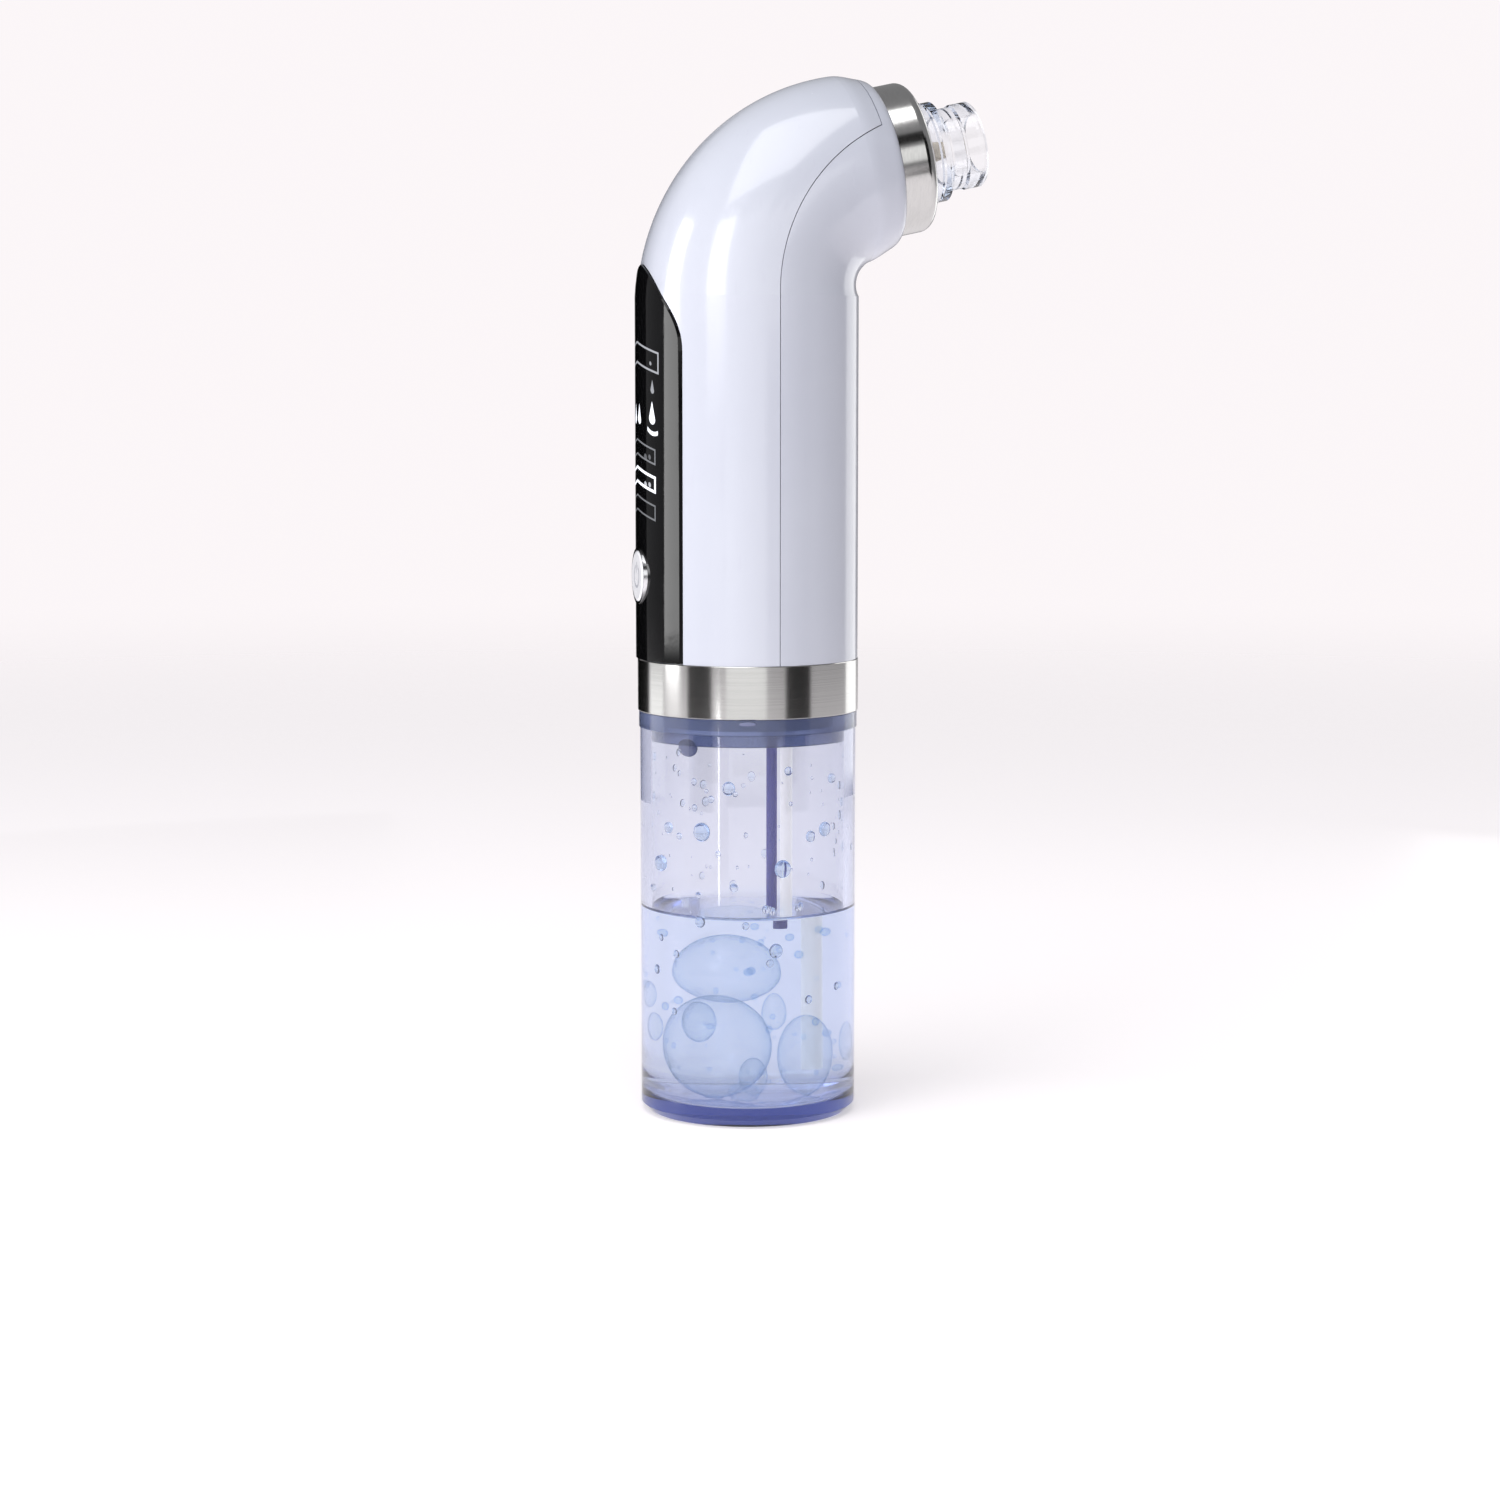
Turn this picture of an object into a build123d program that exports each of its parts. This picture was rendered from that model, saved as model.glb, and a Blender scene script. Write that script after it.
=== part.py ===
from build123d import *
import math
import os

# A hand-held small-bubble pore cleaner, in millimetres. +Z is up, the origin is the centre of the
# tank's underside, the nozzle points towards +X and the display faces -X.

# ---------------------------------------------------------------- driving dimensions
body_radius = 19.9        # grip, outside
shell_wall = 2.0
grip_height = 64.8        # straight part of the grip, above the band
bend_inside = 3.2         # radius on the inside of the bend
nozzle_tilt = 12.0        # nozzle axis above the horizontal, degrees
neck_radius = 16.9        # shell radius where the bend ends
neck_length = 6.6         # from the end of the bend to the nozzle ring

tank_inset = 0.3          # tank wall, inside the line of the grip
tank_height = 70.5
tank_wall = 2.0
tank_floor = 3.0
tank_chamfer = 1.4
tank_fillet = 2.0         # inside, between wall and floor
collar_inset = 0.1
collar_height = 2.9
collar_spigot = 2.2       # depth of the collar's spigot inside the tank
tank_neck_height = 6.3    # above the collar
tank_neck_wall = 1.7

band_proud = 0.1          # steel band, outside the line of the grip
band_height = 9.5
band_wall = 0.7
band_chamfer = 0.12
skirt_wall = 1.65         # rear shell's skirt behind the band

parting_x = 1.0           # plane where the two shells meet along the grip
parting_rise = 6.5        # parting corner above the nozzle axis
collar_width = 2.6        # front shell's full collar behind the nozzle ring

lens_half_width = 12.9
lens_shoulder = 55.1      # straight sides of the lens, above the band
lens_height = 70.4
lens_proud = 0.4
lens_thickness = 1.6

button_radius = 4.55
button_rise = 15.0        # button centre above the band
button_proud = 0.7
button_travel = 0.6
button_edge = 0.5         # rounding of the cap
button_flange_width = 0.75
button_flange_thickness = 0.35
bezel_width = 0.45
bezel_proud = 0.1         # above the lens

ring_radius = 13.5
ring_length = 6.5
ring_edge = 1.9           # rounding of the ring's front edge
ring_wall = 2.35

tip_flange_radius = 9.3
tip_neck_radius = 7.4
tip_lip_radius = 7.7
tip_bore_radius = 5.3     # mouth that touches the skin
tip_plug_radius = 8.0
tip_wall = 1.8
tip_length = 11.5         # in front of the nozzle ring
tip_groove = 1.12         # depth of the plug's gasket groove
tip_groove_width = 1.4
tip_gasket_cord = 0.6     # radius of the gasket's section
plug_gap = 3.2            # from the seat's flange to the plug
sponge_length = 3.5
seat_flange_width = 1.4
seat_flange_thickness = 2.0
seat_gasket_thickness = 0.5
jet_radius = 2.0
jet_mouth_radius = 1.5
jet_reach = 5.2           # jet's end, in front of the nozzle ring
barb_length = 4.0         # barbs on the jet, the seat and the pump

motor_radius = 8.0
motor_length = 25.0
motor_edge = 0.6
motor_front_gap = 1.1     # clamp to the front shell
motor_back_gap = 0.6      # clamp to the chassis
motor_tab_offset = 4.5    # solder tabs, behind the motor's axis
clamp_wall = 1.3
clamp_height = 6.0
clamp_rise = 9.0          # above the motor's lower end
clamp_ear_thickness = 1.4
clamp_ear_reach = 2.8     # ear, beyond the motor's side
clamp_web_depth = 5.55
pump_margin = 1.6         # pump head, beyond the motor's side
pump_rise = 18.4          # pump above the chassis foot
pump_wall = 1.8
pump_cover_height = 3.0
pump_seal_height = 1.2
pump_head_height = 11.2
pump_head_roof = 1.5
pump_screw_inset = 0.9    # screw circle, inside the pump's side
pump_screw_radius = 0.6
shaft_radius = 1.0
eccentric_radius = 4.0
eccentric_offset = 1.0
eccentric_length = 5.0
inlet_back = 4.5          # pump inlet, behind the pump's axis
inlet_out = 3.5           # pump inlet, beyond the motor's side
supply_in = 2.8           # supply hose, in front of the chassis
supply_out = 5.3          # supply hose, beyond the motor's side

hose_radius = 2.0
barb_radius = 1.15        # barbs, and the bore of every hose
barb_wall = 0.45
pickup_inset = 5.18       # pickup tube, inside the tank's bore
pickup_y = 8.0
return_x = 4.5
return_y = 0.0
pickup_end = 6.0          # lower end of the pickup tube, above the tank's underside
return_end = 33.6         # lower end of the return tube
pickup_radius = 1.15
return_radius = 1.0
tube_wall = 0.45
tube_grip = 3.9           # depth of each tube in the manifold
oring_cord = 0.65         # radius of the o-ring's section
oring_depth = 1.15
oring_width = 1.5
oring_drop = 4.6          # groove, below the top of the tank's neck
manifold_flange_height = 3.7
manifold_barb_height = 3.5
manifold_screw_inset = 3.0
manifold_screw_radius = 0.85
manifold_screw_count = 3
manifold_screw_turn = 100.0

chassis_thickness = 1.6
chassis_inset = 3.4       # chassis edge, inside the cavity's side
foot_thickness = 1.6
foot_gap = 0.3            # foot to skirt
shell_boss_radius = 2.2
shell_screw_radius = 0.9
shell_screw_y = 4.5
shell_screw_rise = 1.3    # above the start of the bend
shell_screw_head_depth = 2.3
shell_screw_reach = 7.4   # screw tip, in front of the chassis
screw_head_height = 1.2

board_thickness = 1.2
board_inset = 5.3         # main board's back, inside the cavity
board_margin = 1.71       # main board's corner to the cavity's side
display_inset = 2.9       # display board's back, inside the cavity
display_thickness = 1.0
display_half_width = 6.6
guide_inset = 0.65        # light guide's front, inside the cavity
switch_height = 1.0
level_step = 4.9          # between the display's level marks
level_count = 5
cell_gap = 1.6            # battery cell to main board
cell_half_width = 11.5
pad_thickness = 0.95
lead_radius = 0.4
lead_bend = 1.2
charge_rise = 5.4         # charging board above the chassis foot
charge_thickness = 1.2
charge_length = 9.2
charge_half_width = 5.1
socket_width = 8.94
socket_height = 3.26
socket_wall = 0.35
socket_rise = 1.7         # socket axis above its board
socket_recess = 1.4       # socket mouth, inside the grip's outside

seam_gap = 0.14           # visible gap between shells, and round the lens
assembly_gap = 0.1        # between pieces of one body
slide_gap = 0.2           # between pieces that slide past each other

# ---------------------------------------------------------------- derived places
bend_angle = 90.0 - nozzle_tilt
bend_radius = body_radius + bend_inside
tank_radius = body_radius - tank_inset
tank_bore = tank_radius - tank_wall
collar_radius = body_radius - collar_inset
band_radius = body_radius + band_proud
collar_bottom = tank_height
band_bottom = collar_bottom + collar_height
band_top = band_bottom + band_height
bend_start = band_top + grip_height
cavity_radius = body_radius - shell_wall
skirt_radius = band_radius - band_wall - assembly_gap / 2
skirt_bore = skirt_radius - skirt_wall
tank_neck_radius = skirt_bore - slide_gap
tank_neck_bore = tank_neck_radius - tank_neck_wall
tank_neck_top = band_bottom + tank_neck_height
plug_radius = tank_neck_bore - slide_gap
manifold_bottom = collar_bottom + 0.5
manifold_flange_bottom = tank_neck_top + 0.6
manifold_top = manifold_flange_bottom + manifold_flange_height
foot_bottom = manifold_top + assembly_gap
foot_top = foot_bottom + foot_thickness
lens_top = band_top + lens_height
button_z = band_top + button_rise
manifold_screw_circle = plug_radius - manifold_screw_inset
pickup_x = math.sqrt((tank_bore - pickup_inset) ** 2 - pickup_y ** 2)
charge_z = foot_top + charge_rise
socket_z = charge_z + charge_thickness + socket_rise
pump_bottom = foot_top + pump_rise
pump_radius = motor_radius + pump_margin
pump_x = cavity_radius - motor_radius - clamp_wall - motor_front_gap
chassis_front = pump_x - motor_radius - clamp_wall - motor_back_gap
chassis_back = chassis_front - chassis_thickness
chassis_top = bend_start + 4.3
inlet_x = pump_x - inlet_back
inlet_y = -(motor_radius + inlet_out)
supply_x = chassis_front + supply_in
supply_y = motor_radius + supply_out
screw_z = bend_start + shell_screw_rise
screw_head_x = -(cavity_radius - shell_screw_head_depth)
screw_tip_x = chassis_front + shell_screw_reach
clamp_screw_y = motor_radius + clamp_wall
board_back = -(cavity_radius - board_inset)
board_front = board_back + board_thickness
display_back = -(cavity_radius - display_inset)
switch_top = display_back - switch_height
button_flange_back = switch_top - button_travel - assembly_gap / 2
button_flange_front = button_flange_back - button_flange_thickness
cell_back = board_front + cell_gap
cell_front = chassis_back - pad_thickness
cell_middle = (cell_back + cell_front) / 2
lead_x = board_back + 2.2
board_bottom = foot_top + 6.3
board_top = bend_start - 5.7
front_wall_thickness = 2.0
ring_start = neck_length
ring_front = ring_start + ring_length
seat_radius = ring_radius - ring_wall - assembly_gap
seat_bore = tip_plug_radius + slide_gap
seat_flange_radius = seat_radius + seat_flange_width
seat_flange_front = neck_length - front_wall_thickness - seat_gasket_thickness
seat_flange_back = seat_flange_front - seat_flange_thickness
tip_end = ring_front + tip_length
suction_port_y = -5.2


# ---------------------------------------------------------------- small helpers
def disc(radius, bottom, top, x=0.0, y=0.0):
    low = (Align.CENTER, Align.CENTER, Align.MIN)
    return Pos(x, y, bottom) * Cylinder(radius, top - bottom, align=low)


def tube(outer, inner, bottom, top, x=0.0, y=0.0):
    return disc(outer, bottom, top, x, y) - disc(inner, bottom, top, x, y)


def block(x_low, x_high, y_low, y_high, z_low, z_high):
    size = Box(x_high - x_low, y_high - y_low, z_high - z_low)
    return Pos((x_low + x_high) / 2, (y_low + y_high) / 2, (z_low + z_high) / 2) * size


def peg(radius, x_low, x_high, y, z):
    """A round bar along X."""
    bar = Cylinder(radius, x_high - x_low, align=(Align.CENTER, Align.CENTER, Align.MIN))
    return Plane(origin=(x_low, y, z), x_dir=(0, 1, 0), z_dir=(1, 0, 0)) * bar


def turned(points):
    """A solid turned about local Z from (radius, height) points."""
    profile = make_face(Polyline(*points, close=True))
    return revolve(Plane.XZ * profile, Axis.Z)


def hose(points, radii, outer, inner):
    """A tube of straight runs joined by arcs that touch them."""
    path = FilletPolyline(*points, radius=radii) if radii else Line(*points)
    start = Plane(origin=path @ 0, z_dir=path % 0)
    section = Circle(outer)
    if inner:
        section -= Circle(inner)
    return sweep(start * section, path=path)


def spine_plane(turn):
    """The plane across the bend's centreline after it has turned by this many degrees."""
    a = math.radians(turn)
    centre = (bend_radius * (1 - math.cos(a)), 0, bend_start + bend_radius * math.sin(a))
    return Plane(origin=centre, x_dir=(math.cos(a), 0, -math.sin(a)), z_dir=(math.sin(a), 0, math.cos(a)))


nozzle = spine_plane(bend_angle)


def nozzle_point(along, rise, side=0.0):
    """A point given along the nozzle axis, above it and to its side."""
    return nozzle.from_local_coords(Vector(-rise, side, along))


# ---------------------------------------------------------------- outer form
def bend_form(offset):
    """The bend, with every radius changed by offset."""
    sections = []
    steps = 6
    for i in range(steps + 1):
        radius = body_radius + (neck_radius - body_radius) * i / steps + offset
        sections.append(spine_plane(bend_angle * i / steps) * Circle(radius))
    return loft(sections)


def grip_skin(outside, inside):
    """A layer of the grip and its bend, between two offsets from the outer form."""
    straight = tube(body_radius + outside, body_radius + inside, band_top, bend_start)
    return straight + (bend_form(outside) - bend_form(inside))


def neck_form():
    """The short neck between the bend and the nozzle ring."""
    flank = Spline(
        (neck_radius, 0), (neck_radius - 1.25, neck_length * 0.62), (ring_radius, neck_length),
        tangents=[(-0.09, 1), (-1, 0.15)],
    )
    edge = flank + Polyline((ring_radius, neck_length), (0, neck_length), (0, 0), (neck_radius, 0))
    return nozzle * revolve(Plane.XZ * make_face(edge), Axis.Z)


def neck_cavity():
    end = neck_length - front_wall_thickness
    start_radius = neck_radius - shell_wall
    end_radius = ring_radius + 0.2
    return nozzle * turned([(0, 0), (start_radius, 0), (end_radius, end), (0, end)])


def front_region(gap):
    """Everything on the front shell's side of the parting surface, grown by gap."""
    left = parting_x - gap
    corner_point = nozzle_point(neck_length - collar_width - gap, parting_rise + gap)
    over_point = nozzle_point(neck_length - collar_width - gap, parting_rise + 3 * body_radius)
    corner = (corner_point.X, corner_point.Z)
    over = (over_point.X, over_point.Z)
    far = 5 * body_radius
    low = collar_bottom - 5
    run = Line((left, low), (left, bend_start))
    bend = TangentArc((left, bend_start), corner, tangent=(0, 1))
    rest = Polyline(corner, over, (far, over[1]), (far, low), (left, low))
    return extrude(Plane.XZ * make_face(run + bend + rest), amount=2 * body_radius, both=True)


def lens_prism(gap):
    """The display's arched outline, grown by gap and drawn through the back of the grip."""
    half = lens_half_width + gap
    low = band_top + seam_gap - gap
    shoulder = band_top + lens_shoulder
    top = lens_top + gap
    waist = (half * 0.72, shoulder + (top - shoulder) * 0.6)
    right = Spline((half, shoulder), waist, (0, top), tangents=[(0, 1), (-1, 0.18)])
    left = Spline((0, top), (-waist[0], waist[1]), (-half, shoulder), tangents=[(-1, -0.18), (0, -1)])
    base = Polyline((-half, shoulder), (-half, low), (half, low), (half, shoulder))
    back = Plane(origin=(-1.5 * body_radius, 0, 0), x_dir=(0, 1, 0), z_dir=(1, 0, 0))
    return extrude(back * make_face(right + left + base), amount=1.1 * body_radius)


# ---------------------------------------------------------------- shells and trim
def make_shells():
    shell = grip_skin(0, -shell_wall) + (neck_form() - neck_cavity())
    shell -= nozzle * disc(seat_radius + assembly_gap, 0, neck_length + 1)
    shell += tube(skirt_radius, skirt_bore, band_bottom + assembly_gap / 2, band_top)
    front = shell & front_region(0)
    rear = shell - front_region(seam_gap)

    rear -= grip_skin(lens_proud + 1, lens_proud - lens_thickness - assembly_gap) & lens_prism(seam_gap)
    rear -= peg(button_radius + slide_gap, -1.5 * body_radius, -body_radius * 0.6, 0, button_z)
    rear -= block(-body_radius, -body_radius * 0.6, -3, 3, board_bottom + 14, board_top - 4)
    for side in (-1, 1):
        y = side * shell_screw_y
        rear += peg(shell_boss_radius, -cavity_radius + 0.6, chassis_back - assembly_gap, y, screw_z)
        front += peg(shell_boss_radius, chassis_front + assembly_gap, cavity_radius - 0.4, y, screw_z)
        rear -= peg(shell_screw_radius + assembly_gap, -body_radius - 1, chassis_back, y, screw_z)
        rear -= peg(shell_boss_radius - 0.45, -body_radius - 1, screw_head_x, y, screw_z)
        front -= peg(shell_screw_radius + assembly_gap / 2, chassis_front, screw_tip_x + 0.5, y, screw_z)

    front -= usb_prism(slide_gap, cavity_radius - 1, body_radius + 1, socket_z)
    ledge_top = charge_z - assembly_gap / 2
    for side in (-1, 1):
        low_y, high_y = sorted((side * (charge_half_width - 0.9), side * (charge_half_width + 0.1)))
        front += block(cavity_radius - 5.4, cavity_radius - 0.4, low_y, high_y, ledge_top - 1.45, ledge_top)
    return rear, front


def usb_prism(gap, x_low, x_high, z):
    """The rounded-slot outline of the charging socket, along X."""
    width = socket_width + 2 * gap
    height = socket_height + 2 * gap
    start = Plane(origin=(x_low, 0, z), x_dir=(0, 1, 0), z_dir=(1, 0, 0))
    return extrude(start * RectangleRounded(width, height, height * 0.45), amount=x_high - x_low)


def make_lens():
    lens = grip_skin(lens_proud, lens_proud - lens_thickness) & lens_prism(0)
    return lens - peg(button_radius + bezel_width + 2 * assembly_gap, -2 * body_radius, -5, 0, button_z)


def make_bezel():
    outer = button_radius + bezel_width + assembly_gap
    inner = button_radius + assembly_gap
    high = -(body_radius + lens_proud + bezel_proud)
    low = -(body_radius + lens_proud - lens_thickness)
    ring = peg(outer, high, low, 0, button_z) - peg(inner, high, low, 0, button_z)
    return ring


def make_button():
    face = -(body_radius + button_proud)
    cap = peg(button_radius, face, button_flange_front, 0, button_z)
    cap = fillet(cap.edges().group_by(Axis.X)[0], button_edge)
    flange = peg(button_radius + button_flange_width, button_flange_front, button_flange_back, 0, button_z)
    return cap + flange


def make_band():
    low = band_bottom + assembly_gap / 2
    high = band_top - assembly_gap / 2
    band = tube(band_radius, band_radius - band_wall, low, high)
    rims = band.edges().group_by(Axis.Z)[-1] + band.edges().group_by(Axis.Z)[0]
    return chamfer(rims, band_chamfer)


def make_nozzle_ring():
    ring = tube(ring_radius, ring_radius - ring_wall, ring_start + assembly_gap / 2, ring_front)
    front_edges = ring.edges().group_by(Axis.Z)[-1].sort_by(SortBy.LENGTH)
    ring = fillet(front_edges[-1], ring_edge)
    return nozzle * ring


def make_nozzle_seat():
    seat = tube(seat_radius, seat_bore, seat_flange_back, ring_front - 0.7)
    seat += disc(seat_flange_radius, seat_flange_back, seat_flange_front)
    barb_start = seat_flange_back - barb_length
    seat += disc(barb_radius, barb_start, seat_flange_back, y=suction_port_y)
    seat -= disc(barb_radius - barb_wall, barb_start, seat_flange_front, y=suction_port_y)
    seat -= disc(jet_radius + assembly_gap / 2, seat_flange_back, seat_flange_front)
    return nozzle * seat


def make_spray_jet():
    jet_end = ring_front + jet_reach
    barb_start = seat_flange_back - barb_length
    jet = disc(jet_radius, seat_flange_back, ring_front + 2)
    jet += disc(jet_radius + 0.8, seat_flange_front + assembly_gap, seat_flange_front + 1.1)
    jet += nozzle_cone(jet_radius, jet_mouth_radius, ring_front + 2, jet_end)
    jet += disc(barb_radius, barb_start, seat_flange_back)
    jet -= disc(barb_radius - 0.5, barb_start, jet_end)
    return nozzle * jet


def nozzle_cone(low_radius, high_radius, bottom, top):
    low = (Align.CENTER, Align.CENTER, Align.MIN)
    return Pos(0, 0, bottom) * Cone(low_radius, high_radius, top - bottom, align=low)


def make_seat_gasket():
    low = seat_flange_front + assembly_gap / 4
    high = neck_length - front_wall_thickness - assembly_gap / 4
    return nozzle * tube(seat_flange_radius, seat_radius + assembly_gap / 2, low, high)


# ---------------------------------------------------------------- suction tip
def make_suction_tip():
    start = ring_front + 0.15
    plug_start = seat_flange_front + plug_gap
    throat = tip_plug_radius - tip_wall
    outline = [
        (throat, plug_start), (tip_plug_radius, plug_start), (tip_plug_radius, start),
        (tip_flange_radius, start), (tip_flange_radius, start + 1.8),
        (tip_flange_radius - 0.8, start + 2.0), (tip_flange_radius - 0.3, start + 2.3),
        (tip_flange_radius - 0.3, start + 4.0), (tip_neck_radius, start + 4.6),
        (tip_neck_radius, tip_end - 4.2), (tip_neck_radius - 0.35, tip_end - 4.0),
        (tip_lip_radius, tip_end - 3.7), (tip_lip_radius, tip_end - 0.5),
        (tip_lip_radius - 0.5, tip_end), (tip_bore_radius, tip_end),
        (tip_bore_radius, tip_end - 6.0), (throat, tip_end - 8.0),
    ]
    tip = turned(outline)
    groove_low = plug_start + 1.2
    groove_high = groove_low + tip_groove_width
    tip -= tube(tip_plug_radius + 1, tip_plug_radius - tip_groove, groove_low, groove_high)
    return nozzle * tip


def make_tip_gasket():
    middle = seat_flange_front + plug_gap + 1.2 + tip_groove_width / 2
    major = tip_plug_radius - tip_groove + tip_gasket_cord + 0.02
    return nozzle * Pos(0, 0, middle) * Torus(major, tip_gasket_cord)


def make_filter_sponge():
    start = seat_flange_front + plug_gap + slide_gap
    outer = tip_plug_radius - tip_wall - assembly_gap / 2
    return nozzle * tube(outer, jet_radius + slide_gap, start, start + sponge_length)


# ---------------------------------------------------------------- tank
def make_tank():
    cup = disc(tank_radius, 0, tank_height - assembly_gap / 2)
    cup = chamfer(cup.edges().group_by(Axis.Z)[0], tank_chamfer)
    inner = disc(tank_bore, tank_floor, tank_height)
    inner = fillet(inner.edges().group_by(Axis.Z)[0], tank_fillet)
    return cup - inner


def make_tank_collar():
    collar = disc(collar_radius, collar_bottom, band_bottom - assembly_gap / 2)
    collar += disc(tank_neck_radius, collar_bottom, tank_neck_top)
    collar += disc(tank_bore - assembly_gap / 2, collar_bottom - collar_spigot, collar_bottom)
    collar -= disc(tank_neck_bore, collar_bottom - 3, tank_neck_top)
    return collar


# ---------------------------------------------------------------- manifold and tubes
def make_manifold():
    body = disc(plug_radius, manifold_bottom, manifold_flange_bottom)
    body += disc(tank_neck_radius - 0.05, manifold_flange_bottom, manifold_top)
    groove_low = tank_neck_top - oring_drop
    barb_top = manifold_top + manifold_barb_height
    grip_top = manifold_bottom + tube_grip + 0.1
    body -= tube(plug_radius + 1, plug_radius - oring_depth, groove_low, groove_low + oring_width)
    for x, y, radius in ((pickup_x, pickup_y, pickup_radius), (return_x, return_y, return_radius)):
        body += disc(barb_radius, manifold_top, barb_top, x, y)
        body += nozzle_root(x, y, radius)
        body -= disc(barb_radius - 0.5, manifold_bottom - 5, barb_top, x, y)
        body -= disc(radius + assembly_gap / 4, manifold_bottom - 5, grip_top, x, y)
    for x, y in manifold_screw_places():
        body -= disc(manifold_screw_radius + assembly_gap / 2, manifold_bottom + 5, manifold_top, x, y)
    return body


def manifold_screw_places():
    return screw_circle(manifold_screw_circle, manifold_screw_count, manifold_screw_turn)


def nozzle_root(x, y, radius):
    """The small funnel under the manifold that a tube is pressed into."""
    low = (Align.CENTER, Align.CENTER, Align.MIN)
    height = 3.4
    return Pos(x, y, manifold_bottom - height) * Cone(radius + 0.5, radius + 1.9, height, align=low)


def screw_circle(radius, count, start):
    angles = [math.radians(start + 360 * i / count) for i in range(count)]
    return [(radius * math.cos(a), radius * math.sin(a)) for a in angles]


def make_pickup_tube():
    bore = pickup_radius - tube_wall
    return tube(pickup_radius, bore, pickup_end, manifold_bottom + tube_grip, pickup_x, pickup_y)


def make_return_tube():
    bore = return_radius - tube_wall
    return tube(return_radius, bore, return_end, manifold_bottom + tube_grip, return_x, return_y)


def make_tank_oring():
    middle = tank_neck_top - oring_drop + oring_width / 2
    return Pos(0, 0, middle) * Torus(plug_radius - oring_depth + oring_cord + 0.02, oring_cord)


def make_tank_gasket():
    high = manifold_flange_bottom - assembly_gap / 4
    return tube(tank_neck_radius - 0.1, plug_radius + 0.1, high - 0.45, high)


# ---------------------------------------------------------------- pump
def make_pump():
    cover_top = pump_bottom + pump_cover_height
    seal_top = cover_top + pump_seal_height
    head_top = seal_top + pump_head_height
    inlet_top = cover_top + barb_length
    outlet_low = pump_bottom - barb_length
    pad = barb_radius + 1.25

    cover = disc(pump_radius, pump_bottom, cover_top, pump_x)
    cover += block(inlet_x - pad, inlet_x + pad, inlet_y - 1, -6, pump_bottom, cover_top)
    cover += disc(pad, pump_bottom, cover_top, inlet_x, inlet_y)
    cover += disc(barb_radius, cover_top, inlet_top, inlet_x, inlet_y)
    cover -= disc(barb_radius - barb_wall, pump_bottom + 1, inlet_top, inlet_x, inlet_y)
    cover += disc(barb_radius, outlet_low, pump_bottom, return_x, return_y)
    cover -= disc(barb_radius - barb_wall, outlet_low, cover_top, return_x, return_y)

    diaphragm = disc(pump_radius, cover_top + 0.02, seal_top - 0.02, pump_x)
    diaphragm += disc(2.6, seal_top - 0.02, seal_top + 1.6, pump_x)

    head = tube(pump_radius, pump_radius - pump_wall, seal_top, head_top, pump_x)
    head += disc(pump_radius, head_top - pump_head_roof, head_top, pump_x)
    head -= disc(shaft_radius + 0.6, head_top - pump_head_roof, head_top, pump_x)

    screw_places = screw_circle(pump_radius - pump_screw_inset, 4, 45)
    for x, y in screw_places:
        cover -= disc(pump_screw_radius, pump_bottom, cover_top, pump_x + x, y)
        diaphragm -= disc(pump_screw_radius, cover_top, seal_top, pump_x + x, y)
        head -= disc(pump_screw_radius, seal_top, seal_top + 5, pump_x + x, y)

    motor_bottom = head_top + assembly_gap
    motor_top = motor_bottom + motor_length
    motor = disc(motor_radius, motor_bottom, motor_top, pump_x)
    motor = fillet(motor.edges().group_by(Axis.Z)[-1], motor_edge)
    tab_x = pump_x - motor_tab_offset
    for side in (-1, 1):
        y = side * 0.9
        motor += block(tab_x - 0.4, tab_x + 0.4, y - 0.4, y + 0.4, motor_top - 0.5, motor_top + 0.5)
    motor -= disc(shaft_radius + 0.05, motor_bottom, motor_top, pump_x)

    eccentric_low = seal_top + 3.2
    eccentric_high = eccentric_low + eccentric_length
    shaft = disc(shaft_radius, eccentric_low - 0.2, motor_top - 0.5, pump_x)
    eccentric = disc(eccentric_radius, eccentric_low, eccentric_high, pump_x + eccentric_offset)
    eccentric -= disc(shaft_radius, eccentric_low, eccentric_high, pump_x)

    screws = []
    for x, y in screw_places:
        screw = disc(pump_screw_radius - assembly_gap / 2, pump_bottom, seal_top + 4.5, pump_x + x, y)
        screw += disc(pump_screw_radius + 0.4, pump_bottom - 0.8, pump_bottom, pump_x + x, y)
        screws.append(screw)
    return cover, diaphragm, head, motor, shaft, eccentric, screws, motor_bottom, motor_top


def make_motor_clamp(motor_bottom):
    """A saddle round the motor, screwed to the chassis."""
    low = motor_bottom + clamp_rise
    high = low + clamp_height
    middle = (low + high) / 2
    back = chassis_front + assembly_gap / 2
    ear = back + clamp_ear_thickness
    bore = motor_radius + 0.08
    clamp = tube(motor_radius + clamp_wall, bore, low, high, pump_x)
    screws = []
    for side in (-1, 1):
        ear_low, ear_high = sorted((side * (motor_radius - 1.0), side * (motor_radius + clamp_ear_reach)))
        web_low, web_high = sorted((side * (motor_radius - 1.0), side * (motor_radius - 0.1)))
        clamp += block(back, ear, ear_low, ear_high, low, high)
        clamp += block(back, back + clamp_web_depth, web_low, web_high, low, high)
    clamp -= disc(bore, low, high, pump_x)
    for side in (-1, 1):
        y = side * clamp_screw_y
        clamp -= peg(0.85, back, ear, y, middle)
        screws.append(peg(0.8, chassis_back + 0.1, ear, y, middle) + peg(1.3, ear, ear + 1.0, y, middle))
    return clamp, screws, middle


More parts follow.
